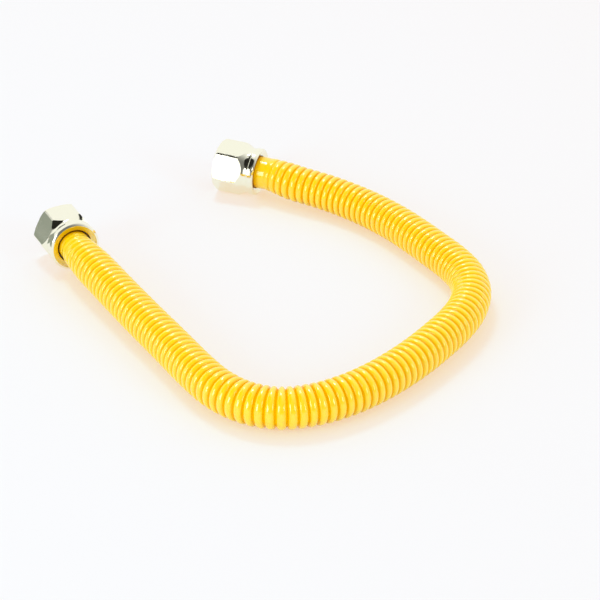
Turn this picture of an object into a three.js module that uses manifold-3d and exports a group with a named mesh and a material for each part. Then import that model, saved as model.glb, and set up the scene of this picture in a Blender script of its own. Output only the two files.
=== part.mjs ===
// Flexible gas hose, nominal bore 12 mm, about half a metre long, with a loose union nut at each end.
// A thin steel tube lies in a ridged yellow jacket. Each tube end carries a welded flanged ring,
// and the union nut's inner lip holds that flange against a flat gasket and the mating spigot.
// Millimetres, +Z up. The hose lies on the plane z = 0 in the open bend that it was put down in.

import * as THREE from 'three';
import { mergeVertices } from 'three/addons/utils/BufferGeometryUtils.js';
import Module from 'manifold-3d';

const wasm = await Module();
wasm.setup();

// Sections, from the free bore outwards
const FACE_GAP = 0.3; // left between pieces that touch
const FREE_BORE_RADIUS = 5.6; // through the flanged rings and the gaskets
const SPIGOT_WALL = 0.65; // flanged ring, the sleeve inside the tube
const TUBE_WALL = 0.4;
const NEAR_CUFF_WALL = 0.5; // jacket, at its plain near end
const FAR_CUFF_WALL = 1;
const GROOVE_WALL = 0.7; // jacket, between two ridges
const RIDGE_DEPTH = 1.45;
const LIP_CLEARANCE = 0.3; // nut lip round the wider cuff
const FLANGE_STEP = 0.5; // by which the flange overlaps the nut lip
const FLANGE_CLEARANCE = 0.27; // flange inside the thread
const GASKET_CLEARANCE = 0.42; // gasket inside the thread
const THREAD_DEPTH = 1.16; // a half inch pipe thread
const NUT_WALL = 1.52; // over the thread undercut, at the flats

const SPIGOT_RADIUS = FREE_BORE_RADIUS + SPIGOT_WALL;
const TUBE_BORE_RADIUS = SPIGOT_RADIUS + FACE_GAP;
const TUBE_RADIUS = TUBE_BORE_RADIUS + TUBE_WALL;
const JACKET_BORE_RADIUS = TUBE_RADIUS + FACE_GAP;
const NEAR_CUFF_RADIUS = JACKET_BORE_RADIUS + NEAR_CUFF_WALL;
const FAR_CUFF_RADIUS = JACKET_BORE_RADIUS + FAR_CUFF_WALL;
const GROOVE_RADIUS = JACKET_BORE_RADIUS + GROOVE_WALL;
const LIP_RADIUS = FAR_CUFF_RADIUS + LIP_CLEARANCE;
const FLANGE_RADIUS = LIP_RADIUS + FLANGE_STEP;
const THREAD_RADIUS = FLANGE_RADIUS + FLANGE_CLEARANCE; // crests of the internal thread
const GASKET_RADIUS = THREAD_RADIUS - GASKET_CLEARANCE;
const UNDERCUT_RADIUS = THREAD_RADIUS + THREAD_DEPTH;
const HALF_FLATS = UNDERCUT_RADIUS + NUT_WALL; // half of the spanner size, 24 mm
const CORNER_RADIUS = HALF_FLATS / Math.cos(Math.PI / 6);

// Lengths inside a nut, counted from its rear face towards its open front
const LIP_LENGTH = 7.3;
const JACKET_COVER = 5.3; // how far the jacket reaches into the nut
const FLANGE_THICKNESS = 2;
const SPIGOT_LENGTH = 5;
const GASKET_THICKNESS = 2;
const UNDERCUT_LENGTH = 2;
const THREAD_LENGTH = 12.8;

const FLANGE_BACK = LIP_LENGTH + FACE_GAP;
const SEAL_FACE = FLANGE_BACK + FLANGE_THICKNESS;
const GASKET_BACK = SEAL_FACE + FACE_GAP;
const GASKET_FRONT = GASKET_BACK + GASKET_THICKNESS;
const THREAD_START = LIP_LENGTH + UNDERCUT_LENGTH;
const NUT_LENGTH = THREAD_START + THREAD_LENGTH;

// Outside of the nut
const REAR_FACE_WIDTH = 2.7;
const COLLAR_CHAMFER = 0.7;
const COLLAR_END = 3.2;
const COLLAR_RISE = 0.2; // collar above the flats
const NECK_DROP = 0.3; // neck below the flats
const NECK_END = 6.4;
const REAR_CONE_LENGTH = 3.55;
const FRONT_CHAMFER = 1.5;
const FRONT_FACE_RISE = 0.4; // front face edge above the flats
const MOUTH_CHAMFER = 1; // leads into the thread

const REAR_FACE_RADIUS = LIP_RADIUS + REAR_FACE_WIDTH;
const COLLAR_RADIUS = HALF_FLATS + COLLAR_RISE;
const NECK_RADIUS = HALF_FLATS - NECK_DROP;
const NECK_START = COLLAR_END + COLLAR_RISE;
const FRONT_FACE_RADIUS = HALF_FLATS + FRONT_FACE_RISE;

// Ridges of the jacket
const RIDGE_PITCH = 3.87;
const NEAR_CUFF = 2.7; // plain jacket that shows behind the near nut
const FAR_CUFF = 5.9;
const NEAR_FADE = 5; // ridges over which the profile grows to full depth
const FAR_FADE = 1;
const CREST_START = 0.25; // shares of one pitch where the flat crest begins and ends
const CREST_STOP = 0.75;
const BORE_STEP = 2.5; // pitches between the rings of the smooth inner walls

// Faceting
const HOSE_SIDES = 12;
const NUT_SIDES = 36;
const RING_SIDES = 24;
const LENGTH_SAMPLES = 3000;

// Turn of each nut about its own axis, as it lies on its corners
const NEAR_NUT_ROLL = THREE.MathUtils.degToRad(-2);
const FAR_NUT_ROLL = THREE.MathUtils.degToRad(-9.6);

// Centre line, from the near sealing face to the far one
const ROUTE = [
  [-92.1, 32, 12.25], [-87.85, 23.39, 12.25], [-84.65, 16.9, 12.25], [-80, 8.8, 12],
  [-72.2, -4.3, 11.4], [-64.2, -17.9, 10.8], [-56.2, -31.4, 10.3], [-48.2, -44.8, 9.9],
  [-40.1, -58.2, 9.6], [-32, -72, 9.4], [-23.8, -86, 9.4], [-14.4, -99.3, 9.4],
  [-2.6, -109.2, 9.4], [11.2, -113.5, 9.4], [25.7, -110.9, 9.4], [39.4, -103.9, 9.4],
  [51.9, -94.1, 9.4], [63.1, -82.7, 9.4], [73.1, -70.5, 9.4], [82.1, -57.7, 9.4],
  [90.2, -44.8, 9.4], [96.7, -30.8, 9.4], [99.9, -15.3, 9.4], [98.3, 0, 9.4],
  [92.7, 13.5, 9.4], [85.1, 26.3, 9.4], [76.8, 39.7, 9.4], [67.7, 52.9, 9.4],
  [57.3, 65.3, 9.4], [45.5, 76.1, 9.8], [32.7, 85, 10.5], [19, 92.5, 11.3],
  [5.6, 100.75, 12.35], [-0.22, 102.98, 12.6], [-9.2, 106.35, 12.98],
];

const UP = new THREE.Vector3(0, 0, 1);
const centreLine = new THREE.CatmullRomCurve3(
  ROUTE.map((point) => new THREE.Vector3(...point)), false, 'centripetal');
centreLine.arcLengthDivisions = LENGTH_SAMPLES;
const ROUTE_LENGTH = centreLine.getLength();

// Point and directions of the centre line at a distance from its start
function frameAt(distance) {
  const share = THREE.MathUtils.clamp(distance / ROUTE_LENGTH, 0, 1);
  const point = centreLine.getPointAt(share);
  const along = centreLine.getTangentAt(share);
  const side = new THREE.Vector3().crossVectors(along, UP).normalize();
  const rise = new THREE.Vector3().crossVectors(side, along);
  return { point, along, side, rise };
}

// A closed profile of [radius, height] points, turned about the Y axis
function revolve(profile, sides) {
  const outline = profile.map(([radius, height]) => new THREE.Vector2(radius, height));
  return new THREE.LatheGeometry(outline, sides);
}

// A straight piece that was turned about Y is laid along the centre line
function bendAlongRoute(geometry) {
  const positions = geometry.attributes.position;
  for (let i = 0; i < positions.count; i += 1) {
    const { point, side, rise } = frameAt(positions.getY(i));
    point.addScaledVector(side, positions.getX(i));
    point.addScaledVector(rise, positions.getZ(i));
    positions.setXYZ(i, point.x, point.y, point.z);
  }
  geometry.computeVertexNormals();
  return geometry;
}

// A closed three.js geometry becomes a solid that can be joined and cut
function toSolid(geometry) {
  const bare = geometry.clone();
  bare.deleteAttribute('normal');
  bare.deleteAttribute('uv');
  const merged = mergeVertices(bare);
  const corners = merged.index.array;
  const triVerts = [];
  for (let i = 0; i < corners.length; i += 3) {
    const [a, b, c] = corners.slice(i, i + 3);
    if (a !== b && b !== c && c !== a) triVerts.push(a, b, c);
  }
  return new wasm.Manifold(new wasm.Mesh({
    numProp: 3,
    vertProperties: new Float32Array(merged.attributes.position.array),
    triVerts: new Uint32Array(triVerts),
  }));
}

function toGeometry(solid) {
  const mesh = solid.getMesh();
  const geometry = new THREE.BufferGeometry();
  geometry.setAttribute('position', new THREE.BufferAttribute(mesh.vertProperties, 3));
  geometry.setIndex(new THREE.BufferAttribute(mesh.triVerts, 1));
  geometry.computeVertexNormals();
  return geometry;
}

// Yellow jacket: plain cuffs at both ends, ridges between them, a smooth inside
const jacketStart = SEAL_FACE - JACKET_COVER;
const jacketEnd = ROUTE_LENGTH - jacketStart;
const ridgesStart = SEAL_FACE + NEAR_CUFF;
const ridgesEnd = ROUTE_LENGTH - SEAL_FACE - FAR_CUFF;
const ridgeCount = Math.round((ridgesEnd - ridgesStart) / RIDGE_PITCH);
const ridgePitch = (ridgesEnd - ridgesStart) / ridgeCount;

// Rings at which the smooth inner walls of jacket and tube follow the bend
function boreRings(start, end) {
  const steps = Math.round(ridgeCount / BORE_STEP);
  const rings = [start];
  for (let i = 0; i <= steps; i += 1) {
    rings.push(THREE.MathUtils.lerp(ridgesStart, ridgesEnd, i / steps));
  }
  rings.push(end);
  return rings;
}

// Share of the full profile at a place counted in ridges, which grows from each cuff
function ridgeGrowth(place) {
  return Math.min(1, place / NEAR_FADE, (ridgeCount - place) / FAR_FADE);
}

function jacketGeometry() {
  const cuffAt = (place) => (place < ridgeCount / 2 ? NEAR_CUFF_RADIUS : FAR_CUFF_RADIUS);
  const grooveAt = (place) => THREE.MathUtils.lerp(cuffAt(place), GROOVE_RADIUS, ridgeGrowth(place));
  const profile = [[NEAR_CUFF_RADIUS, jacketStart]];
  for (let ridge = 0; ridge < ridgeCount; ridge += 1) {
    const foot = ridgesStart + ridge * ridgePitch;
    const middle = ridge + (CREST_START + CREST_STOP) / 2;
    const crest = grooveAt(middle) + RIDGE_DEPTH * ridgeGrowth(middle);
    profile.push([grooveAt(ridge), foot]);
    profile.push([crest, foot + CREST_START * ridgePitch]);
    profile.push([crest, foot + CREST_STOP * ridgePitch]);
  }
  profile.push([FAR_CUFF_RADIUS, ridgesEnd], [FAR_CUFF_RADIUS, jacketEnd]);
  for (const height of boreRings(jacketStart, jacketEnd).reverse()) {
    profile.push([JACKET_BORE_RADIUS, height]);
  }
  profile.push(profile[0]);
  return bendAlongRoute(revolve(profile, HOSE_SIDES));
}

// Steel tube inside the jacket, ending just behind each flange
function tubeGeometry() {
  const start = SEAL_FACE - LIP_LENGTH;
  const rings = boreRings(start, ROUTE_LENGTH - start);
  const outside = rings.map((height) => [TUBE_RADIUS, height]);
  const inside = rings.map((height) => [TUBE_BORE_RADIUS, height]).reverse();
  const profile = [...outside, ...inside, outside[0]];
  return bendAlongRoute(revolve(profile, HOSE_SIDES));
}

// Flanged ring at the tube's end, with a sleeve that sits inside the tube
function endRingGeometry() {
  const sleeveEnd = FLANGE_BACK - SPIGOT_LENGTH;
  return revolve([
    [FREE_BORE_RADIUS, sleeveEnd],
    [SPIGOT_RADIUS, sleeveEnd],
    [SPIGOT_RADIUS, FLANGE_BACK],
    [FLANGE_RADIUS, FLANGE_BACK],
    [FLANGE_RADIUS, SEAL_FACE],
    [FREE_BORE_RADIUS, SEAL_FACE],
    [FREE_BORE_RADIUS, sleeveEnd],
  ], RING_SIDES);
}

function gasketGeometry() {
  return revolve([
    [FREE_BORE_RADIUS, GASKET_BACK],
    [GASKET_RADIUS, GASKET_BACK],
    [GASKET_RADIUS, GASKET_FRONT],
    [FREE_BORE_RADIUS, GASKET_FRONT],
    [FREE_BORE_RADIUS, GASKET_BACK],
  ], RING_SIDES);
}

// Hexagonal bar that the nut is turned from, with flats facing local Z
function hexagonGeometry() {
  const outline = new THREE.Shape();
  for (let corner = 0; corner < 6; corner += 1) {
    const angle = (corner * Math.PI) / 3;
    const x = CORNER_RADIUS * Math.cos(angle);
    const y = CORNER_RADIUS * Math.sin(angle);
    if (corner === 0) outline.moveTo(x, y);
    else outline.lineTo(x, y);
  }
  outline.closePath();
  const bar = new THREE.ExtrudeGeometry(outline, { depth: NUT_LENGTH, bevelEnabled: false });
  return bar.rotateX(-Math.PI / 2);
}

// Union nut: a round collar behind, a neck, a hexagon with turned ends, and a stepped bore
function nutGeometry() {
  const turned = revolve([
    [0, COLLAR_CHAMFER],
    [NECK_RADIUS, COLLAR_CHAMFER],
    [NECK_RADIUS, NECK_START],
    [HALF_FLATS, NECK_END],
    [CORNER_RADIUS, NECK_END + REAR_CONE_LENGTH],
    [CORNER_RADIUS, NUT_LENGTH - FRONT_CHAMFER],
    [FRONT_FACE_RADIUS, NUT_LENGTH],
    [0, NUT_LENGTH],
  ], NUT_SIDES);
  const collar = revolve([
    [0, 0],
    [REAR_FACE_RADIUS, 0],
    [COLLAR_RADIUS, COLLAR_CHAMFER],
    [COLLAR_RADIUS, COLLAR_END],
    [NECK_RADIUS, NECK_START],
    [0, NECK_START],
  ], NUT_SIDES);
  const bore = revolve([
    [0, -COLLAR_CHAMFER],
    [LIP_RADIUS, -COLLAR_CHAMFER],
    [LIP_RADIUS, LIP_LENGTH],
    [UNDERCUT_RADIUS, LIP_LENGTH],
    [UNDERCUT_RADIUS, THREAD_START],
    [THREAD_RADIUS, THREAD_START],
    [THREAD_RADIUS, NUT_LENGTH - MOUTH_CHAMFER],
    [THREAD_RADIUS + MOUTH_CHAMFER, NUT_LENGTH],
    [THREAD_RADIUS + MOUTH_CHAMFER, NUT_LENGTH + MOUTH_CHAMFER],
    [0, NUT_LENGTH + MOUTH_CHAMFER],
  ], NUT_SIDES);
  const body = toSolid(turned).intersect(toSolid(hexagonGeometry()));
  return toGeometry(body.add(toSolid(collar)).subtract(toSolid(bore)));
}

// Finishes
const jacketFinish = { color: 0xffd233, roughness: 0.35, metalness: 0 };
const platedFinish = { color: 0xe9e4d2, roughness: 0.15, metalness: 1 };
const steelFinish = { color: 0xb9bcbe, roughness: 0.35, metalness: 1 };
const gasketFinish = { color: 0x2b2c2e, roughness: 0.8, metalness: 0 };

function piece(name, geometry, finish) {
  const mesh = new THREE.Mesh(geometry, new THREE.MeshStandardMaterial(finish));
  mesh.name = name;
  return mesh;
}

// Everything at one end, in a group whose Y axis runs out of the hose through the nut
function endFitting(prefix, distance, outwards, roll) {
  const { point, along, side, rise } = frameAt(distance);
  const axis = along.clone().multiplyScalar(outwards);
  const across = side.clone().multiplyScalar(outwards);
  const fitting = new THREE.Group();
  fitting.position.copy(point);
  fitting.quaternion.setFromRotationMatrix(new THREE.Matrix4().makeBasis(across, axis, rise));
  fitting.add(piece(`${prefix}_end_ring`, endRingGeometry(), steelFinish));
  fitting.add(piece(`${prefix}_gasket`, gasketGeometry(), gasketFinish));
  const nut = piece(`${prefix}_union_nut`, nutGeometry(), platedFinish);
  nut.rotation.y = roll;
  fitting.add(nut);
  return fitting;
}

const hose = new THREE.Group();
hose.add(piece('hose_jacket', jacketGeometry(), jacketFinish));
hose.add(piece('steel_tube', tubeGeometry(), steelFinish));
hose.add(endFitting('near', SEAL_FACE, -1, NEAR_NUT_ROLL));
hose.add(endFitting('far', ROUTE_LENGTH - SEAL_FACE, 1, FAR_NUT_ROLL));

export default hose;
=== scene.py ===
"""Flexible gas hose on a pale table: ridged yellow jacket, thin steel tube and two plated union nuts.

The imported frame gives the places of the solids. This script dresses them: the jacket as one
fine ridged tube along its route, the nuts as turned and planed hexagons with a cut thread,
and the small inner rings. All lengths are in metres unless a name says otherwise.
"""

import logging
import math
from dataclasses import dataclass, field
from enum import Enum

import bmesh
import bpy
from mathutils import Matrix, Vector


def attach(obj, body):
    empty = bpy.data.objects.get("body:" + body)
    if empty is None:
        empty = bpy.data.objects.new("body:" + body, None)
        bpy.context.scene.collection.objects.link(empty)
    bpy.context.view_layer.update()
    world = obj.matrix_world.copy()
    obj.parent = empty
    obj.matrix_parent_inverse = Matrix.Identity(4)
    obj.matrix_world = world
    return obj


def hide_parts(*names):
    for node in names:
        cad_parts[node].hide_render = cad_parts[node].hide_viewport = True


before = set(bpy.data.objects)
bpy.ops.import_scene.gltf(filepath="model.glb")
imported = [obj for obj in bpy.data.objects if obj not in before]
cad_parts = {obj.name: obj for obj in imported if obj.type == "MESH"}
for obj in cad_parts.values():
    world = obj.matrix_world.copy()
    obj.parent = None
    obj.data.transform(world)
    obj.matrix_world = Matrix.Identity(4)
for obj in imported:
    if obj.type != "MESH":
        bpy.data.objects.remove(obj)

LOG = logging.getLogger("gas_hose")

MM = 0.001
UP = Vector((0.0, 0.0, 1.0))
WHITE = (1.0, 1.0, 1.0)
FULL_TURN = 2.0 * math.pi
SHORTEST_STEP = 1e-9
MERGE_DISTANCE = 1e-6
CUT_DISTANCE = 1e-7

# Centre line of the hose, from the near sealing face to the far one, in millimetres
ROUTE_MM = (
    (-92.1, 32, 12.25), (-87.85, 23.39, 12.25), (-84.65, 16.9, 12.25), (-80, 8.8, 12),
    (-72.2, -4.3, 11.4), (-64.2, -17.9, 10.8), (-56.2, -31.4, 10.3), (-48.2, -44.8, 9.9),
    (-40.1, -58.2, 9.6), (-32, -72, 9.4), (-23.8, -86, 9.4), (-14.4, -99.3, 9.4),
    (-2.6, -109.2, 9.4), (11.2, -113.5, 9.4), (25.7, -110.9, 9.4), (39.4, -103.9, 9.4),
    (51.9, -94.1, 9.4), (63.1, -82.7, 9.4), (73.1, -70.5, 9.4), (82.1, -57.7, 9.4),
    (90.2, -44.8, 9.4), (96.7, -30.8, 9.4), (99.9, -15.3, 9.4), (98.3, 0, 9.4),
    (92.7, 13.5, 9.4), (85.1, 26.3, 9.4), (76.8, 39.7, 9.4), (67.7, 52.9, 9.4),
    (57.3, 65.3, 9.4), (45.5, 76.1, 9.8), (32.7, 85, 10.5), (19, 92.5, 11.3),
    (5.6, 100.75, 12.35), (-0.22, 102.98, 12.6), (-9.2, 106.35, 12.98),
)

# Turned blank of a nut, once round its section from the rear bore: radius and height, in millimetres
NUT_BLANK_MM = (
    (8.55, 1.0), (8.62, 0.85), (10.95, 0.06), (11.08, 0.0), (11.24, 0.0), (12.08, 0.58),
    (12.17, 0.68), (12.2, 0.85), (12.2, 2.95), (12.12, 3.12), (11.9, 3.25), (11.72, 3.38),
    (11.68, 3.6), (11.7, 4.8), (11.78, 5.7), (11.9, 6.3), (12.15, 6.8), (12.7, 7.8),
    (13.86, 9.95), (14.5, 11.17), (14.5, 19.93), (13.86, 20.6), (12.45, 22.0), (12.3, 22.1),
    (10.75, 22.1), (10.6, 22.05), (10.5, 21.9), (10.5, 9.3), (10.5, 7.3), (8.55, 7.3),
)

# Places along a nut, from its rear face towards its open front
COLLAR_END = 3.4 * MM
LIP_FRONT = 7.3 * MM
FLANGE_BACK = 7.6 * MM
THREAD_START = 9.3 * MM
SEAL_FACE = 9.6 * MM
GASKET_BACK = 9.9 * MM
GASKET_FRONT = 11.9 * MM

# Other sizes that more than one piece keeps to
JACKET_COVER = 5.3 * MM
HALF_FLATS = 12.0 * MM
FREE_BORE = 5.6 * MM

# Turn of each nut about its own axis, in degrees
NEAR_ROLL = -2.0
FAR_ROLL = -9.6

# Mark on the hose's surface for its painted shade: 0 on a crest, 1 in a groove and 2 where a nut hides it
GROOVE_SHADE_MARK = "groove"
FULL_DEPTH = 1.0
NUT_SHADE_DEPTH = 2.0

# Mark on a nut's surface for its painted shade: 1 in its rear bore
BORE_SHADE_MARK = "bore"

# Angles in degrees over which an edge stays sharp
HOSE_CREASE = 50.0
NUT_CREASE = 24.0
RING_CREASE = 40.0
THREAD_CREASE = 35.0


class Body(str, Enum):
    """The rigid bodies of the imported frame."""

    HOSE = "hose"
    NEAR_NUT = "near_nut"
    FAR_NUT = "far_nut"


class Slot(str, Enum):
    """The material slots of the record."""

    JACKET = "yellow_jacket"
    STEEL = "stainless_steel"
    RUBBER = "gasket_rubber"
    PLATING = "nut_plating"


class Ray(str, Enum):
    """The kinds of ray that the table and the room tell apart."""

    CAMERA = "Is Camera Ray"
    GLOSSY = "Is Glossy Ray"
    TRANSMISSION = "Is Transmission Ray"


class Blend(str, Enum):
    """What a mix node mixes."""

    COLOR = "RGBA"
    NUMBER = "FLOAT"


class Run(str, Enum):
    """How a value runs from one end of its range to the other."""

    EVEN = "LINEAR"
    EASED = "SMOOTHSTEP"


class Operation(str, Enum):
    """What a math node does."""

    MULTIPLY_ADD = "MULTIPLY_ADD"
    SUBTRACT = "SUBTRACT"
    MAXIMUM = "MAXIMUM"


def curve_point(before: Vector, start: Vector, end: Vector, after: Vector, share: float) -> Vector:
    """Find a point on one stretch of a centripetal curve through given points.

    Args:
        before: The route point before the stretch.
        start: The point where the stretch starts.
        end: The point where the stretch ends.
        after: The route point after the stretch.
        share: How far along the stretch, from 0 to 1.

    Returns:
        The point on the curve.
    """
    step_in, step, step_out = (
        max(math.sqrt((b - a).length), SHORTEST_STEP)
        for a, b in ((before, start), (start, end), (end, after))
    )
    leave = (start - before) / step_in - (end - before) / (step_in + step) + (end - start) / step
    reach = (end - start) / step - (after - start) / (step + step_out) + (after - end) / step_out
    square = share * share
    cube = square * share
    return (
        start * (2 * cube - 3 * square + 1)
        + leave * step * (cube - 2 * square + share)
        + end * (3 * square - 2 * cube)
        + reach * step * (cube - square)
    )


class Route:
    """The hose's centre line, measured by its own length."""

    SAMPLES = 60
    REACH = 0.4 * MM

    def __init__(self, points_mm: tuple) -> None:
        """Sample the smooth curve through the route points.

        Args:
            points_mm: The route points, in millimetres.
        """
        points = [Vector(point) * MM for point in points_mm]
        ends = [2 * points[0] - points[1], *points, 2 * points[-1] - points[-2]]
        self.line = []
        for i in range(1, len(ends) - 2):
            stretch = ends[i - 1:i + 3]
            self.line += [curve_point(*stretch, k / self.SAMPLES) for k in range(self.SAMPLES)]
        self.line.append(points[-1])
        self.marks = [0.0]
        for a, b in zip(self.line, self.line[1:]):
            self.marks.append(self.marks[-1] + (b - a).length)
        self.length = self.marks[-1]
        self._cursor = 0

    def _segment(self, distance: float) -> int:
        """Find the sampled segment that holds a distance, starting from the last one found.

        Args:
            distance: Metres along the line from its start.

        Returns:
            The segment's number.
        """
        i = self._cursor
        while i > 0 and self.marks[i] > distance:
            i -= 1
        while i < len(self.line) - 2 and self.marks[i + 1] < distance:
            i += 1
        self._cursor = i
        return i

    def point(self, distance: float) -> Vector:
        """Find the point at a distance along the line.

        Args:
            distance: Metres along the line from its start.

        Returns:
            The point.
        """
        i = self._segment(distance)
        share = (distance - self.marks[i]) / (self.marks[i + 1] - self.marks[i])
        return self.line[i].lerp(self.line[i + 1], share)

    def frame(self, distance: float) -> tuple:
        """Find the point, the direction along, the level side and the rise at a distance.

        Args:
            distance: Metres along the line from its start.

        Returns:
            Point, along, side and rise, all as vectors.
        """
        along = (self.point(distance + self.REACH) - self.point(distance - self.REACH)).normalized()
        side = along.cross(UP).normalized()
        return self.point(distance), along, side, side.cross(along)

    def end_matrix(self, distance: float, outwards: int, roll: float) -> Matrix:
        """Find the placing of an end fitting, whose local Z axis runs out of the hose.

        Args:
            distance: Where the fitting's rear face lies along the line.
            outwards: 1 at the far end and -1 at the near end.
            roll: Turn about the fitting's own axis, in radians.

        Returns:
            The matrix from the fitting's own frame to the row frame.
        """
        point, along, _, rise = self.frame(distance)
        axis = along * outwards
        across = rise.cross(axis)
        turned = Matrix((rise, across, axis)).transposed().to_4x4()
        return Matrix.Translation(point) @ turned @ Matrix.Rotation(-roll, 4, "Z")


def deselect() -> None:
    """Clear the selection, because operators act on all that is selected."""
    for item in bpy.context.selected_objects:
        item.select_set(False)


def make_active(piece: bpy.types.Object) -> None:
    """Select one object alone and make it active.

    Args:
        piece: The object.
    """
    deselect()
    piece.select_set(True)
    bpy.context.view_layer.objects.active = piece


def place(piece: bpy.types.Object, matrix: Matrix) -> None:
    """Put a finished piece in its place, with the place kept in its mesh."""
    piece.data.transform(matrix)
    piece.matrix_world = Matrix.Identity(4)


def face_towards(thing: bpy.types.Object, aim: tuple, front: str) -> None:
    """Turn an object at its place so that its front faces a point.

    Args:
        thing: The object, whose location is set.
        aim: The point.
        front: The local axis that is its front.
    """
    line = Vector(aim) - thing.location
    thing.rotation_euler = line.to_track_quat(front, "Y").to_euler()


def smooth(piece: bpy.types.Object, degrees: float) -> None:
    """Shade a piece smooth apart from edges sharper than an angle."""
    make_active(piece)
    bpy.ops.object.shade_smooth_by_angle(angle=math.radians(degrees), keep_sharp_edges=False)


def mark_surface(piece: bpy.types.Object, name: str, values: list) -> None:
    """Write a number on each vertex, for the piece's material to read."""
    mark = piece.data.attributes.new(name, "FLOAT", "POINT")
    mark.data.foreach_set("value", values)


def turned_ring(name: str, profile: list, sides: int) -> bpy.types.Object:
    """Turn a closed ring from a profile, by drawing a circle out step by step.

    Args:
        name: The new object's name.
        profile: Radius and height of each step, in metres, going once round the section.
        sides: Number of faces round the axis.

    Returns:
        The new object, with its axis along local Z.
    """
    deselect()
    radius, height = profile[0]
    bpy.ops.mesh.primitive_circle_add(vertices=sides, radius=radius, location=(0, 0, height))
    ring = bpy.context.active_object
    ring.name = name
    bpy.ops.object.mode_set(mode="EDIT")
    bpy.ops.mesh.select_all(action="SELECT")
    for next_radius, next_height in [*profile[1:], profile[0]]:
        step = (0.0, 0.0, next_height - height)
        bpy.ops.mesh.extrude_region_move(TRANSFORM_OT_translate={"value": step})
        scale = next_radius / radius
        bpy.ops.transform.resize(value=(scale, scale, 1.0))
        radius, height = next_radius, next_height
    bpy.ops.mesh.select_all(action="SELECT")
    bpy.ops.mesh.remove_doubles(threshold=MERGE_DISTANCE)
    bpy.ops.mesh.normals_make_consistent(inside=False)
    bpy.ops.object.mode_set(mode="OBJECT")
    bpy.ops.object.transform_apply(location=True, rotation=True, scale=True)
    return ring


def rounded(profile: list, radius: float, steps: int) -> list:
    """Round the corners of a closed profile.

    Args:
        profile: Corners as radius and height.
        radius: How far from a corner the rounding starts, at most.
        steps: Number of steps round each corner.

    Returns:
        The profile with each corner replaced by a short curve.
    """
    most_of_side = 0.45
    out = []
    count = len(profile)
    for i, corner in enumerate(profile):
        here = Vector(corner)
        back = Vector(profile[i - 1]) - here
        ahead = Vector(profile[(i + 1) % count]) - here
        start = here + back.normalized() * min(radius, back.length * most_of_side)
        end = here + ahead.normalized() * min(radius, ahead.length * most_of_side)
        for k in range(steps + 1):
            share = k / steps
            point = start.lerp(here, share).lerp(here.lerp(end, share), share)
            out.append((point.x, point.y))
    return out


@dataclass(frozen=True)
class Grain:
    """A fine irregular pattern, fixed to the object: waves per metre and octaves of finer noise."""

    scale: float
    detail: float


@dataclass(frozen=True)
class Relief:
    """A faint relief: the share of it that shows and the height of a full step."""

    strength: float
    height: float


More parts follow.
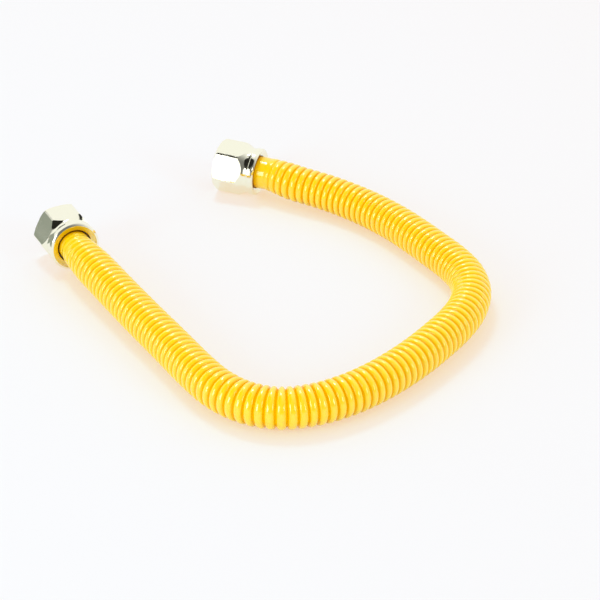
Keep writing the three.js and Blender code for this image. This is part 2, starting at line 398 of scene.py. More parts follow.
class Graph:
    """The nodes and links of one material or world."""

    def __init__(self, owner: bpy.types.ID) -> None:
        """Switch on the owner's nodes.

        Args:
            owner: A new material or world.
        """
        owner.use_nodes = True
        self.nodes = owner.node_tree.nodes
        self.links = owner.node_tree.links

    def fill(self, socket: bpy.types.NodeSocket, value: object) -> None:
        """Give an input a colour or a number, or the output that drives it.

        Args:
            socket: The input.
            value: A colour as a tuple, a number or an output.
        """
        if isinstance(value, bpy.types.NodeSocket):
            self.links.new(value, socket)
        elif isinstance(value, tuple):
            socket.default_value = (*value, 1.0)
        else:
            socket.default_value = value

    def add(self, kind: str, **inputs: object) -> bpy.types.Node:
        """Add a node and fill its inputs.

        Args:
            kind: The node's type.
            inputs: Value of each input, under its name with _ for a space.

        Returns:
            The node.
        """
        node = self.nodes.new(kind)
        for name, value in inputs.items():
            self.fill(node.inputs[name.replace("_", " ")], value)
        return node

    def attribute(self, name: str) -> bpy.types.NodeSocket:
        """Read a mark on the surface.

        Args:
            name: The mark's name.

        Returns:
            The output that gives the mark.
        """
        node = self.nodes.new("ShaderNodeAttribute")
        node.attribute_name = name
        return node.outputs["Fac"]

    def noise(self, grain: Grain) -> bpy.types.NodeSocket:
        """Add an irregular pattern.

        Args:
            grain: Its scale and detail.

        Returns:
            The output that gives the pattern.
        """
        where = self.nodes.new("ShaderNodeTexCoord").outputs["Object"]
        node = self.add("ShaderNodeTexNoise", Vector=where, Scale=grain.scale, Detail=grain.detail)
        return node.outputs["Fac"]

    def span(self, value: bpy.types.NodeSocket, source: tuple, target: tuple,
             run: Run = Run.EVEN) -> bpy.types.NodeSocket:
        """Stretch one range of a value over another.

        Args:
            value: The output that gives the value.
            source: The lowest and highest value that count.
            target: What these two become.
            run: How the result runs from one to the other.

        Returns:
            The output that gives the result.
        """
        node = self.add(
            "ShaderNodeMapRange", Value=value, From_Min=source[0], From_Max=source[1],
            To_Min=target[0], To_Max=target[1],
        )
        node.interpolation_type = run.value
        return node.outputs["Result"]

    def calculate(self, operation: Operation, *values: object, clamp: bool = False) -> bpy.types.NodeSocket:
        """Calculate with numbers.

        Args:
            operation: What is done.
            values: Numbers or outputs, in the operation's order.
            clamp: Whether the result is kept between 0 and 1.

        Returns:
            The output that gives the result.
        """
        node = self.nodes.new("ShaderNodeMath")
        node.operation = operation.value
        node.use_clamp = clamp
        for socket, value in zip(node.inputs, values):
            self.fill(socket, value)
        return node.outputs["Value"]

    def mix(self, blend: Blend, share: bpy.types.NodeSocket, first: object,
            second: object) -> bpy.types.NodeSocket:
        """Mix two colours or two numbers.

        Args:
            blend: What is mixed.
            share: The output that gives the second one's share.
            first: The one at share 0.
            second: The one at share 1.

        Returns:
            The output that gives the mix.
        """
        node = self.nodes.new("ShaderNodeMix")
        node.data_type = blend.value
        self.fill(node.inputs["Factor"], share)
        self.fill(node.inputs["A"], first)
        self.fill(node.inputs["B"], second)
        return node.outputs["Result"]

    def any_ray(self, *kinds: Ray) -> bpy.types.NodeSocket:
        """Say whether a ray is of any of some kinds.

        Args:
            kinds: The kinds.

        Returns:
            The output that gives 1 for such a ray and 0 for others.
        """
        rays = self.nodes.new("ShaderNodeLightPath")
        found = rays.outputs[kinds[0].value]
        for kind in kinds[1:]:
            found = self.calculate(Operation.MAXIMUM, found, rays.outputs[kind.value])
        return found

    def show(self, shader: bpy.types.Node) -> None:
        """Make one shader the whole material, in place of the one that it starts with."""
        self.nodes.remove(self.nodes["Principled BSDF"])
        self.links.new(shader.outputs[0], self.nodes["Material Output"].inputs["Surface"])


@dataclass(frozen=True)
class Finish:
    """What every finish has: a name and the plain values of its shader."""

    name: str
    color: tuple
    roughness: float
    metallic: float = 0.0

    def start(self) -> tuple:
        """Make the material with its shader.

        Returns:
            The material, its graph and the shader node.
        """
        material = bpy.data.materials.new(self.name)
        graph = Graph(material)
        shader = graph.nodes["Principled BSDF"]
        graph.fill(shader.inputs["Base Color"], self.color)
        graph.fill(shader.inputs["Roughness"], self.roughness)
        graph.fill(shader.inputs["Metallic"], self.metallic)
        return material, graph, shader

    @staticmethod
    def vary_gloss(graph: Graph, shader: bpy.types.Node, pattern: bpy.types.NodeSocket,
                   least: float, most: float) -> None:
        """Let the roughness follow a pattern.

        Args:
            graph: The material's graph.
            shader: The shader.
            pattern: The output that gives the pattern.
            least: Roughness where the pattern is 0.
            most: Roughness where the pattern is 1.
        """
        graph.fill(shader.inputs["Roughness"], graph.span(pattern, (0.0, 1.0), (least, most)))

    @staticmethod
    def emboss(graph: Graph, shader: bpy.types.Node, pattern: bpy.types.NodeSocket, relief: Relief) -> None:
        """Let the surface follow a pattern as a faint relief.

        Args:
            graph: The material's graph.
            shader: The shader.
            pattern: The output that gives the pattern.
            relief: How deep it is.
        """
        bump = graph.add("ShaderNodeBump", Height=pattern, Strength=relief.strength, Distance=relief.height)
        graph.fill(shader.inputs["Normal"], bump.outputs["Normal"])


@dataclass(frozen=True)
class JacketPlastic(Finish):
    """Glossy yellow plastic, with painted shade as deeper orange and less shine between its ridges, and as
    brown inside the nuts.
    """

    groove_shade_color: tuple = (1.0, 0.46, 0.0)
    # Painted shade where the nuts cover the jacket
    nut_shade_color: tuple = (0.42, 0.17, 0.01)
    refraction: float = 1.5
    coat_roughness: float = 0.07
    cloud: Grain = Grain(260.0, 3.0)
    cloud_range: tuple = (0.3, 0.7)
    cloud_tint: float = 0.1
    groove_shade_share: float = 0.72
    dull_from: float = 0.7
    coat_range: tuple = (1.0, 0.0)
    shine_range: tuple = (0.75, 0.08)
    smoother: float = 0.05
    rougher: float = 0.08
    ripple: Grain = Grain(900.0, 2.0)
    relief: Relief = Relief(0.35, 0.06 * MM)

    def build(self) -> bpy.types.Material:
        """Make the material.

        Returns:
            The material.
        """
        material, graph, shader = self.start()
        graph.fill(shader.inputs["IOR"], self.refraction)
        graph.fill(shader.inputs["Coat Roughness"], self.coat_roughness)
        cloud = graph.noise(self.cloud)
        depth = graph.attribute(GROOVE_SHADE_MARK)
        tint = graph.span(cloud, self.cloud_range, (0.0, self.cloud_tint))
        # Painted shade: the groove mark turns the yellow deeper orange in the grooves
        groove_shade = graph.calculate(Operation.MULTIPLY_ADD, depth, self.groove_shade_share, tint, clamp=True)
        # Painted shade: a mark of 2 turns the jacket brown inside the nuts
        nut_shade = graph.calculate(Operation.SUBTRACT, depth, FULL_DEPTH, clamp=True)
        yellow = graph.mix(Blend.COLOR, groove_shade, self.color, self.groove_shade_color)
        color = graph.mix(Blend.COLOR, nut_shade, yellow, self.nut_shade_color)
        graph.fill(shader.inputs["Base Color"], color)
        # The grooves also lose coat and specular shine, standing in for their shade
        for socket, shine in (("Coat Weight", self.coat_range), ("Specular IOR Level", self.shine_range)):
            graph.fill(shader.inputs[socket], graph.span(depth, (0.0, self.dull_from), shine))
        self.vary_gloss(graph, shader, cloud, self.roughness - self.smoother, self.roughness + self.rougher)
        self.emboss(graph, shader, graph.noise(self.ripple), self.relief)
        return material


@dataclass(frozen=True)
class Plating(Finish):
    """Bright warm plating over a milled nut, slightly uneven, with a dull rear bore whose brown is partly
    painted shade and a painted reflection of the yellow jacket.
    """

    bore_shade_color: tuple = (0.34, 0.17, 0.04)
    cloud: Grain = Grain(220.0, 4.0)
    least_gloss: float = 1.5
    most_gloss: float = 0.6
    ripple: Grain = Grain(480.0, 2.0)
    relief: Relief = Relief(0.4, 0.05 * MM)

    def build(self) -> bpy.types.Material:
        """Make the material.

        Returns:
            The material.
        """
        material, graph, shader = self.start()
        # Painted shade and reflection: the rear bore turns brown
        color = graph.mix(Blend.COLOR, graph.attribute(BORE_SHADE_MARK), self.color, self.bore_shade_color)
        graph.fill(shader.inputs["Base Color"], color)
        smoothest, roughest = self.roughness * self.most_gloss, self.roughness * self.least_gloss
        self.vary_gloss(graph, shader, graph.noise(self.cloud), smoothest, roughest)
        self.emboss(graph, shader, graph.noise(self.ripple), self.relief)
        return material


@dataclass(frozen=True)
class Steel(Finish):
    """Thin drawn stainless steel."""

    grain: Grain = Grain(1500.0, 2.0)
    least_gloss: float = 1.4
    most_gloss: float = 0.7

    def build(self) -> bpy.types.Material:
        """Make the material.

        Returns:
            The material.
        """
        material, graph, shader = self.start()
        smoothest, roughest = self.roughness * self.most_gloss, self.roughness * self.least_gloss
        self.vary_gloss(graph, shader, graph.noise(self.grain), smoothest, roughest)
        return material


@dataclass(frozen=True)
class GasketSheet(Finish):
    """Matt gasket sheet, cut with a punch."""

    grain: Grain = Grain(2500.0, 3.0)
    lighter: float = 1.7
    relief: Relief = Relief(0.5, 0.03 * MM)

    def build(self) -> bpy.types.Material:
        """Make the material.

        Returns:
            The material.
        """
        material, graph, shader = self.start()
        grain = graph.noise(self.grain)
        light_color = tuple(self.lighter * part for part in self.color)
        graph.fill(shader.inputs["Base Color"], graph.mix(Blend.COLOR, grain, self.color, light_color))
        self.emboss(graph, shader, grain, self.relief)
        return material


@dataclass
class Hose:
    """The jacket with its ridges, and the steel tube inside it."""

    route: Route
    plastic: bpy.types.Material
    steel: bpy.types.Material
    crest: float = 9.4 * MM
    groove: float = 7.95 * MM
    bore: float = 7.25 * MM
    pitch: float = 3.87 * MM
    near_cuff: float = 2.7 * MM
    near_cuff_radius: float = 7.8 * MM
    far_cuff: float = 4.6 * MM
    far_cuff_radius: float = 8.25 * MM
    end_round: float = 0.25 * MM
    cuff_steps: int = 12
    sides: int = 56
    near_fade: float = 5.0
    far_fade: float = 3.0
    fade_power: float = 0.7
    pull: float = 0.0028
    pull_power: int = 40
    lobe_steps: int = 9
    lobe_half_width: float = 0.42
    lobe_foot: float = 0.04
    lobe_power: float = 0.9
    # Groove mark of the plain cuffs: a slight orange tint, and painted shade that deepens over cuff_shade
    # towards the nut's mouth
    cuff_tint: float = 0.22
    cuff_shade: float = 2.4 * MM
    cuff_shade_power: float = 0.6
    mouth: float = 0.7 * MM
    tube_crest: float = 6.95 * MM
    tube_root: float = 6.0 * MM
    tube_plain: float = 6.9 * MM
    tube_wall: float = 0.3 * MM
    tube_sides: int = 32
    tube_rings: int = 4
    centre_steps: int = 240
    start: float = field(init=False)
    end: float = field(init=False)
    ridges_start: float = field(init=False)
    ridges_end: float = field(init=False)
    ridge_count: int = field(init=False)

    def __post_init__(self) -> None:
        """Work out where the jacket and its ridges start and end."""
        self.start = SEAL_FACE - JACKET_COVER
        self.end = self.route.length - self.start
        self.ridges_start = SEAL_FACE + self.near_cuff
        self.ridges_end = self.route.length - SEAL_FACE - self.far_cuff
        self.ridge_count = round((self.ridges_end - self.ridges_start) / self.pitch)

    def growth(self, place_in_ridges: float) -> float:
        """Find how far the ridges have grown to their full height.

        Args:
            place_in_ridges: A place counted in ridges from the near end.

        Returns:
            The share of the full height.
        """
        left = self.ridge_count - place_in_ridges
        share = min(1.0, place_in_ridges / self.near_fade, left / self.far_fade)
        return max(0.0, share) ** self.fade_power

    def ridge_height(self, place_in_ridges: float) -> float:
        """Find a ridge's place, where the far nut has pulled the last ridges apart.

        Args:
            place_in_ridges: A place counted in ridges from the near end.

        Returns:
            Metres along the route.
        """
        share = place_in_ridges / self.ridge_count
        pulled = (share + self.pull * share ** self.pull_power) / (1.0 + self.pull)
        return self.ridges_start + pulled * (self.ridges_end - self.ridges_start)

    def cuff_depth(self, height: float) -> float:
        """Find the groove mark of a plain cuff, whose painted shade deepens towards the nut's mouth.

        Args:
            height: Metres along the route.

        Returns:
            The mark.
        """
        from_nut = min(height, self.route.length - height) - SEAL_FACE
        # Painted shade inside the nut, past its mouth
        if from_nut < -self.mouth:
            return NUT_SHADE_DEPTH
        clear = min(1.0, max(0.0, from_nut / self.cuff_shade)) ** self.cuff_shade_power
        return FULL_DEPTH - (FULL_DEPTH - self.cuff_tint) * clear

    def ridge_shape(self) -> list:
        """Shape one ridge as a groove and a rounded lobe.

        Returns:
            Share of the pitch and share of the height for each ring.
        """
        shape = [(0.0, 0.0)]
        for k in range(self.lobe_steps + 1):
            angle = math.pi * (self.lobe_foot + (1.0 - 2.0 * self.lobe_foot) * k / self.lobe_steps)
            across = 0.5 - self.lobe_half_width * math.cos(angle)
            shape.append((across, math.sin(angle) ** self.lobe_power))
        return shape

    def outer_profile(self) -> list:
        """Draw the jacket's outside from end to end.

        Returns:
            Height along the route, radius and groove mark of each ring.
        """
        near, far = self.near_cuff_radius, self.far_cuff_radius
        rows = [(self.start, near - self.end_round, NUT_SHADE_DEPTH)]
        first = self.start + self.end_round
        for k in range(self.cuff_steps):
            height = first + (self.ridges_start - first) * k / self.cuff_steps
            rows.append((height, near, self.cuff_depth(height)))
        for ridge in range(self.ridge_count):
            cuff = near if ridge < self.ridge_count / 2 else far
            for share, swell in self.ridge_shape():
                place_here = ridge + share
                grown = self.growth(place_here)
                foot = cuff + (self.groove - cuff) * grown
                radius = foot + (self.crest - foot) * grown * swell
                height = self.ridge_height(place_here)
                # Painted shade: the mark grows from crest to groove, and falls back to the cuff's mark
                # where the ridges fade
                depth = grown * (1.0 - swell) + (1.0 - grown) * self.cuff_depth(height)
                rows.append((height, radius, depth))
        last = self.end - self.end_round
        for k in range(self.cuff_steps + 1):
            height = self.ridges_end + (last - self.ridges_end) * k / self.cuff_steps
            rows.append((height, far, self.cuff_depth(height)))
        rows.append((self.end, far - self.end_round, NUT_SHADE_DEPTH))
        return rows

    def tube_mesh(self, name: str, rows: list, sides: int) -> bpy.types.Object:
        """Lay a closed profile round the route.

        Args:
            name: The new object's name.
            rows: Height along the route, radius and groove mark of each ring, once round the section.
            sides: Number of faces round the hose.

        Returns:
            The new object.
        """
        verts = []
        depths = []
        for height, radius, depth in rows:
            point, _, side, rise = self.route.frame(height)
            for k in range(sides):
                angle = FULL_TURN * k / sides
                verts.append(point + side * (radius * math.sin(angle)) + rise * (radius * math.cos(angle)))
                depths.append(depth)
        faces = []
        count = len(rows)
        for i in range(count):
            j = (i + 1) % count
            for k in range(sides):
                m = (k + 1) % sides
                faces.append((i * sides + k, i * sides + m, j * sides + m, j * sides + k))
        mesh = bpy.data.meshes.new(name)
        mesh.from_pydata(verts, [], faces)
        shape = bmesh.new()
        shape.from_mesh(mesh)
        bmesh.ops.recalc_face_normals(shape, faces=shape.faces)
        shape.to_mesh(mesh)
        shape.free()
        piece = bpy.data.objects.new(name, mesh)
        bpy.context.scene.collection.objects.link(piece)
        mark_surface(piece, GROOVE_SHADE_MARK, depths)
        smooth(piece, HOSE_CREASE)
        return piece

    def jacket(self) -> bpy.types.Object:
        """Make the yellow jacket, with a smooth bore.

        Returns:
            The new piece.
        """
        outside = self.outer_profile()
        steps = 2 * self.ridge_count
        inside = [
            (self.start + (self.end - self.start) * k / steps, self.bore, 0.0)
            for k in range(steps + 1)
        ]
        piece = self.tube_mesh("jacket_skin", outside + inside[::-1], self.sides)
        piece.data.materials.append(self.plastic)
        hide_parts("hose_jacket")
        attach(piece, Body.HOSE.value)
        return piece

    def centre_points(self) -> list:
        """List close points of the jacket's own centre line.

        Returns:
            The points, as tuples.
        """
        steps = self.centre_steps
        return [
            tuple(self.route.point(self.start + (self.end - self.start) * k / steps))
            for k in range(steps + 1)
        ]

    def declare(self) -> None:
        tuple(self.route.point(SEAL_FACE))
        self.centre_points()

    def tube(self) -> bpy.types.Object:
        """Make the corrugated steel tube inside the jacket.

        Returns:
            The new piece.
        """
        plain = self.tube_plain
        first = SEAL_FACE - LIP_FRONT
        last = self.route.length - first
        rows = [(first, plain, 0.0), (self.ridges_start, plain, 0.0)]
        for ridge in range(self.ridge_count):
            for k in range(self.tube_rings):
                share = k / self.tube_rings
                grown = self.growth(ridge + share)
                wave = 0.5 - 0.5 * math.cos(FULL_TURN * share)
                ridged = self.tube_root + (self.tube_crest - self.tube_root) * wave
                radius = plain * (1.0 - grown) + ridged * grown
                rows.append((self.ridge_height(ridge + share), radius, 0.0))
        rows += [(self.ridges_end, plain, 0.0), (last, plain, 0.0)]
        inside = [(height, radius - self.tube_wall, 0.0) for height, radius, _ in rows[::-1]]
        piece = self.tube_mesh("corrugated_tube", rows + inside, self.tube_sides)
        piece.data.materials.append(self.steel)
        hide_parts("steel_tube")
        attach(piece, Body.HOSE.value)
        return piece


@dataclass
class EndFitting:
    """The union nut, gasket and flanged ring of one end, built about local Z and then placed."""

    prefix: str
    body: Body
    matrix: Matrix
    plating: bpy.types.Material
    steel: bpy.types.Material
    rubber: bpy.types.Material
    nut_sides: int = 144
    ring_sides: int = 96
    corner_reach: float = 13.8 * MM
    corner_length: float = 5.0 * MM
    edge_round: float = 0.65 * MM
    edge_steps: int = 4
    lip_bore: float = 8.58 * MM
    thread_pitch: float = 1.814 * MM
    thread_turns: int = 6
    thread_steps: int = 72
    thread_crest: float = 9.32 * MM
    thread_root: float = 10.48 * MM
    thread_sunk: float = 0.06 * MM
    thread_lead: float = 1.1
    thread_fill: float = 0.97
    thread_round: float = 0.12 * MM
    thread_round_steps: int = 2
    gasket_radius: float = 8.9 * MM
    gasket_round: float = 0.25 * MM
    gasket_round_steps: int = 3
    flange_radius: float = 9.05 * MM
    sleeve_radius: float = 6.25 * MM
    sleeve_length: float = 5.0 * MM
    ring_round: float = 0.15 * MM
    ring_round_steps: int = 2

    def finish_piece(self, piece: bpy.types.Object, material: bpy.types.Material,
                     body: Body, node: str = "") -> bpy.types.Object:
        """Place a piece, give it its material and tie it to its body.

        Args:
            piece: The finished mesh object, about local Z.
            material: Its finish.
            body: The body that it moves with.
            node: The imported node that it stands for, if any.

        Returns:
            The same piece.
        """
        place(piece, self.matrix)
        piece.data.materials.clear()
        piece.data.materials.append(material)
        if node:
            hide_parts(node)
        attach(piece, body.value)
        return piece

    def plane_flat(self, nut: bpy.types.Object, turn: float) -> None:
        """Plane one flat on the blank, which is in edit mode.

        Args:
            nut: The blank.
            turn: Direction of the flat about the axis, in radians.
        """
        normal = (math.cos(turn), math.sin(turn), 0.0)
        shape = bmesh.from_edit_mesh(nut.data)
        for face in shape.faces:
            face.select_set(face.calc_center_median().z > COLLAR_END)
        bmesh.update_edit_mesh(nut.data)
        bpy.ops.mesh.bisect(
            plane_co=tuple(HALF_FLATS * part for part in normal),
            plane_no=normal, use_fill=True, clear_outer=True, threshold=CUT_DISTANCE,
        )

    def soften_corners(self, nut: bpy.types.Object) -> None:
        """Round the long edges between the flats, in edit mode.

        Args:
            nut: The planed nut.
        """
        bpy.ops.mesh.select_all(action="DESELECT")
        shape = bmesh.from_edit_mesh(nut.data)
        for edge in shape.edges:
            ends = [vert.co for vert in edge.verts]
            on_corner = all(math.hypot(co.x, co.y) > self.corner_reach for co in ends)
            edge.select_set(on_corner and abs(ends[0].z - ends[1].z) > self.corner_length)
        bmesh.update_edit_mesh(nut.data)
        bpy.ops.mesh.bevel(offset=self.edge_round, segments=self.edge_steps, affect="EDGES")

    def nut(self) -> bpy.types.Object:
        """Turn the blank, plane six flats on it and soften its corners.

        Returns:
            The new piece.
        """
        blank = [(radius * MM, height * MM) for radius, height in NUT_BLANK_MM]
        nut = turned_ring(f"{self.prefix}_nut", blank, self.nut_sides)
        make_active(nut)
        bpy.ops.object.mode_set(mode="EDIT")
        flats = 6
        for flat in range(flats):
            self.plane_flat(nut, FULL_TURN / flats * flat)
        self.soften_corners(nut)
        bpy.ops.object.mode_set(mode="OBJECT")
        smooth(nut, NUT_CREASE)
        even = nut.modifiers.new("even", "WEIGHTED_NORMAL")
        even.keep_sharp = True
        bpy.ops.object.modifier_apply(modifier="even")
        # Mark the rear bore for its painted shade
        in_bore = [float(math.hypot(vert.co.x, vert.co.y) < self.lip_bore) for vert in nut.data.vertices]
        mark_surface(nut, BORE_SHADE_MARK, in_bore)
        return self.finish_piece(nut, self.plating, self.body, f"{self.prefix}_union_nut")

    def thread(self) -> bpy.types.Object:
        """Cut the internal thread, as one ridge that is wound up the bore wall.

        Returns:
            The new piece.
        """
        deselect()
        half = 0.5 * self.thread_pitch
        bpy.ops.mesh.primitive_circle_add(
            vertices=4, radius=1.0, rotation=(math.pi / 2, 0.0, 0.0),
            location=(self.thread_root, 0.0, THREAD_START + self.thread_lead * half),
        )
        coil = bpy.context.active_object
        coil.name = f"{self.prefix}_thread"
        depth = self.thread_root - self.thread_crest + self.thread_sunk
        coil.scale = (depth, self.thread_fill * half, 1.0)
        bpy.ops.object.transform_apply(location=True, rotation=True, scale=True)
        bpy.ops.object.mode_set(mode="EDIT")
        bpy.ops.mesh.select_all(action="SELECT")
        bpy.ops.mesh.bevel(offset=self.thread_round, segments=self.thread_round_steps, affect="VERTICES")
        bpy.ops.object.mode_set(mode="OBJECT")
        winding = coil.modifiers.new("winding", "SCREW")
        winding.axis = "Z"
        winding.angle = FULL_TURN
        winding.iterations = self.thread_turns
        winding.screw_offset = self.thread_pitch
        winding.steps = self.thread_steps
        winding.render_steps = self.thread_steps
        bpy.ops.object.modifier_apply(modifier="winding")
        bpy.ops.object.mode_set(mode="EDIT")
        bpy.ops.mesh.select_all(action="SELECT")
        bpy.ops.mesh.fill_holes(sides=0)
        bpy.ops.mesh.select_all(action="SELECT")
        bpy.ops.mesh.normals_make_consistent(inside=False)
        bpy.ops.object.mode_set(mode="OBJECT")
        smooth(coil, THREAD_CREASE)
        return self.finish_piece(coil, self.plating, self.body)

    def gasket(self) -> bpy.types.Object:
        """Make the flat gasket with slightly rounded edges.

        Returns:
            The new piece.
        """
        corners = [
            (FREE_BORE, GASKET_BACK), (self.gasket_radius, GASKET_BACK),
            (self.gasket_radius, GASKET_FRONT), (FREE_BORE, GASKET_FRONT),
        ]
        profile = rounded(corners, self.gasket_round, self.gasket_round_steps)
        ring = turned_ring(f"{self.prefix}_gasket_ring", profile, self.ring_sides)
        smooth(ring, RING_CREASE)
        return self.finish_piece(ring, self.rubber, self.body, f"{self.prefix}_gasket")

    def end_ring(self) -> bpy.types.Object:
        """Make the flanged ring that the nut draws up.

        Returns:
            The new piece.
        """
        sleeve_end = FLANGE_BACK - self.sleeve_length
        corners = [
            (FREE_BORE, sleeve_end), (self.sleeve_radius, sleeve_end),
            (self.sleeve_radius, FLANGE_BACK), (self.flange_radius, FLANGE_BACK),
            (self.flange_radius, SEAL_FACE), (FREE_BORE, SEAL_FACE),
        ]
        profile = rounded(corners, self.ring_round, self.ring_round_steps)
        ring = turned_ring(f"{self.prefix}_flange", profile, self.ring_sides)
        smooth(ring, RING_CREASE)
        return self.finish_piece(ring, self.steel, Body.HOSE, f"{self.prefix}_end_ring")


@dataclass(frozen=True)
class Card:
    """A card beside the table that glows with its own colour and that only shiny surfaces show: a painted
    reflection.
    """

    name: str
    place: tuple
    aim: tuple
    width: float
    height: float
    color: tuple

    def build(self) -> None:
        """Hang the card so that only reflections see it."""
        deselect()
        bpy.ops.mesh.primitive_plane_add(size=1.0, location=self.place)
        card = bpy.context.active_object
        card.name = self.name
        card.scale = (self.width, self.height, 1.0)
        face_towards(card, self.aim, "Z")
        card.visible_camera = False
        card.visible_diffuse = False
        card.visible_shadow = False
        material = bpy.data.materials.new(self.name)
        graph = Graph(material)
        # The card glows though it is no lamp: its colour is a painted reflection
        graph.show(graph.add("ShaderNodeEmission", Color=self.color))
        card.data.materials.append(material)


@dataclass
class Studio:
    """Table, light and camera."""

    camera_place: tuple = (20.2 * MM, -833.3 * MM, 481.2 * MM)
    camera_drop: float = math.radians(30.19)
    camera_lens: float = 121.75
    camera_sensor: float = 36.0
    nearest_seen: float = 0.01
    table_size: float = 30.0
    table_top: float = -0.2 * MM
    table_color: tuple = (0.93, 0.93, 0.93)
    # Painted shadow colour: glow and shade split per channel, so the table's shadows turn peach as if lit
    # by the yellow jacket
    table_glow: tuple = (0.84, 0.5, 0.3)
    table_shade: tuple = (0.105, 0.4, 0.585)
    room_turn: tuple = (-0.6, 0.3)
    room_light: tuple = (0.66, 0.88)
    room_shine: tuple = (0.2, 1.0)

    def camera(self) -> None:
        """Set the camera at the photograph's viewing angle."""
        data = bpy.data.cameras.new("camera")
        data.lens = self.camera_lens
        data.sensor_width = self.camera_sensor
        data.clip_start = self.nearest_seen
        camera = bpy.data.objects.new("camera", data)
        camera.location = self.camera_place
        camera.rotation_euler = (math.pi / 2 - self.camera_drop, 0.0, 0.0)
        bpy.context.scene.collection.objects.link(camera)
        bpy.context.scene.camera = camera

    def table(self) -> None:
        """Lay the pale table, whose own soft glow lightens the shadows that are seen on it and paints them
        peach.
        """
        deselect()
        bpy.ops.mesh.primitive_plane_add(size=self.table_size, location=(0.0, 0.0, self.table_top))
        table = bpy.context.active_object
        table.name = "table_top"
        material = bpy.data.materials.new("pale_table")
        graph = Graph(material)
        plain = graph.add("ShaderNodeBsdfDiffuse", Color=self.table_color)
        shade = graph.add("ShaderNodeBsdfDiffuse", Color=self.table_shade)
        # Painted shadow colour: the glow lifts red most and blue least, so shadows seen on the table read
        # peach
        glow = graph.add("ShaderNodeEmission", Color=self.table_glow)
        seen = graph.nodes.new("ShaderNodeAddShader")
        graph.links.new(shade.outputs["BSDF"], seen.inputs[0])
        graph.links.new(glow.outputs["Emission"], seen.inputs[1])
        mix = graph.nodes.new("ShaderNodeMixShader")
        graph.fill(mix.inputs["Fac"], graph.any_ray(Ray.CAMERA, Ray.GLOSSY, Ray.TRANSMISSION))
        graph.links.new(plain.outputs["BSDF"], mix.inputs[1])
        graph.links.new(seen.outputs["Shader"], mix.inputs[2])
        graph.show(mix)
        table.data.materials.append(material)

    def lamp(self, name: str, place_at: tuple, size: tuple, power: float) -> None:
        """Hang one soft lamp over the table and aim it at the table's middle.

        Args:
            name: The lamp's name.
            place_at: Where it hangs.
            size: Its width and height, in metres.
            power: Its power, in watts.
        """
        data = bpy.data.lights.new(name, "AREA")
        data.shape = "RECTANGLE"
        data.size, data.size_y = size
        data.energy = power
        lamp = bpy.data.objects.new(name, data)
        lamp.location = place_at
        face_towards(lamp, (0.0, 0.0, 0.0), "-Z")
        bpy.context.scene.collection.objects.link(lamp)

    def lamps(self) -> None:
        """Hang the soft lamps of the studio."""
        self.lamp("top_softbox", (-0.22, 0.5, 1.25), (0.34, 0.26), 4.4)
        self.lamp("left_softbox", (-0.85, -0.8, 0.42), (0.45, 0.6), 4.6)
        self.lamp("right_softbox", (0.95, -0.8, 0.5), (0.35, 0.55), 2.9)

    def cards(self) -> None:
        """Hang the cards that paint reflections on the faces and edges of the shiny nuts and on the jacket.
        """
        # Painted reflections: glowing cards in black, white and grey-green
        dark_reflection = (0.015, 0.014, 0.012)
        bright_reflection = (1.15, 1.15, 1.15)
        brightest_reflection = (1.4, 1.4, 1.4)
        grey_green_reflection = (0.31, 0.34, 0.31)
        near_nut = (-0.09, 0.03, 0.012)
        far_flat = (-0.0182, 0.0977, 0.0174)
        far_edge = (-0.0175, 0.1002, 0.0237)
        far_top = (-0.015, 0.108, 0.025)
        above_low = (-0.27, 0.14, 1.0)
        far_side = (0.0, 0.1, 0.0)
        for card in (
            Card("side_card", (-0.44, 0.23, 0.03), near_nut, 0.5, 0.16, grey_green_reflection),
            Card("top_card", (-0.66, 0.02, 0.85), near_nut, 0.7, 0.7, dark_reflection),
            Card("left_card", (-0.42, 0.5, 0.21), near_nut, 0.22, 0.26, dark_reflection),
            Card("back_card", (0.52, 0.58, 0.52), near_nut, 0.08, 0.12, dark_reflection),
            Card("edge_card", (-0.42, -0.144, 0.79), far_top, 0.8, 0.8, dark_reflection),
            Card("low_card", (-0.27, 0.14, 0.001), above_low, 0.26, 0.24, grey_green_reflection),
            Card("white_card", (-0.0497, 0.0602, 0.0276), far_flat, 0.022, 0.02, brightest_reflection),
            Card("line_card", (-0.0438, 0.0739, 0.0572), far_edge, 0.026, 0.04, dark_reflection),
            Card("shade_card", (-0.0254, 0.1152, 0.0707), far_edge, 0.026, 0.026, dark_reflection),
            Card("bright_card", (-0.9, -0.92, 0.3), far_side, 0.8, 0.6, bright_reflection),
        ):
            card.build()

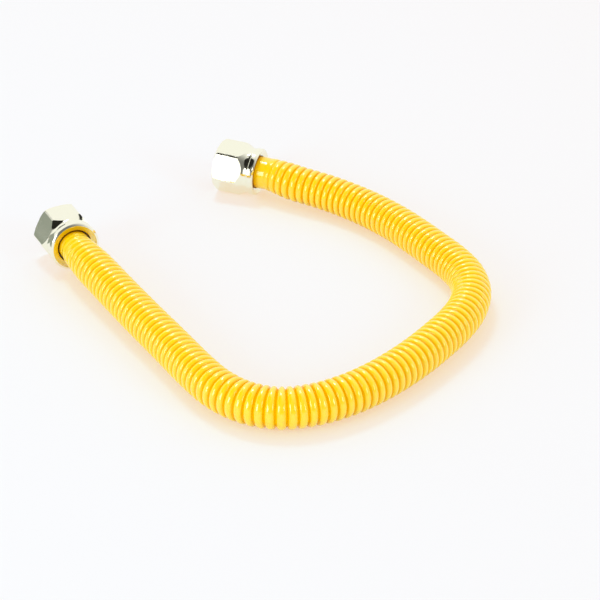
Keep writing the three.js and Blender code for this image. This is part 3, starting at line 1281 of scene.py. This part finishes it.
    def room(self) -> None:
        """Fill the room with soft light, brighter behind the table than in front of it."""
        world = bpy.data.worlds.new("room")
        bpy.context.scene.world = world
        graph = Graph(world)
        background = graph.nodes["Background"]
        graph.fill(background.inputs["Color"], WHITE)
        direction = graph.nodes.new("ShaderNodeTexCoord").outputs["Generated"]
        split = graph.add("ShaderNodeSeparateXYZ", Vector=direction)
        level = graph.span(split.outputs["Y"], self.room_turn, self.room_light, Run.EASED)
        shine = graph.span(split.outputs["Y"], self.room_turn, self.room_shine, Run.EASED)
        for other, kinds in ((shine, (Ray.GLOSSY, Ray.TRANSMISSION)), (1.0, (Ray.CAMERA,))):
            level = graph.mix(Blend.NUMBER, graph.any_ray(*kinds), level, other)
        graph.fill(background.inputs["Strength"], level)

    def build(self) -> None:
        """Set up everything round the hose apart from the camera."""
        bpy.context.scene.view_settings.view_transform = "Standard"
        self.table()
        self.lamps()
        self.cards()
        self.room()


def main() -> None:
    """Build the scene in order and log each piece."""
    logging.basicConfig(level=logging.INFO, format="%(name)s: %(message)s")
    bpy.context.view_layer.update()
    studio = Studio()
    studio.camera()
    route = Route(ROUTE_MM)
    plastic = JacketPlastic("yellow_plastic", color=(1.0, 0.735, 0.002), roughness=0.15).build()
    plating = Plating("warm_plating", color=(0.93, 0.92, 0.75), roughness=0.1, metallic=1.0).build()
    steel = Steel("stainless", color=(0.62, 0.62, 0.62), roughness=0.3, metallic=1.0).build()
    rubber = GasketSheet("gasket_sheet", color=(0.03, 0.03, 0.032), roughness=0.7).build()
    hose = Hose(route, plastic, steel)
    jacket = hose.jacket()
    LOG.info("jacket with %d ridges, %.4f m long", hose.ridge_count, hose.end - hose.start)
    tube = hose.tube()
    LOG.info("tube inside it")
    on_hose = [tube]
    for prefix, body, distance, outwards, roll in (
        ("near", Body.NEAR_NUT, SEAL_FACE, -1, NEAR_ROLL),
        ("far", Body.FAR_NUT, route.length - SEAL_FACE, 1, FAR_ROLL),
    ):
        matrix = route.end_matrix(distance, outwards, math.radians(roll))
        fitting = EndFitting(prefix, body, matrix, plating, steel, rubber)
        on_hose += [fitting.nut(), fitting.thread(), fitting.gasket(), fitting.end_ring()]
        LOG.info("%s fitting: nut, thread, gasket and flanged ring", prefix)
    hose.declare()
    studio.build()


if __name__ == "__main__":
    main()
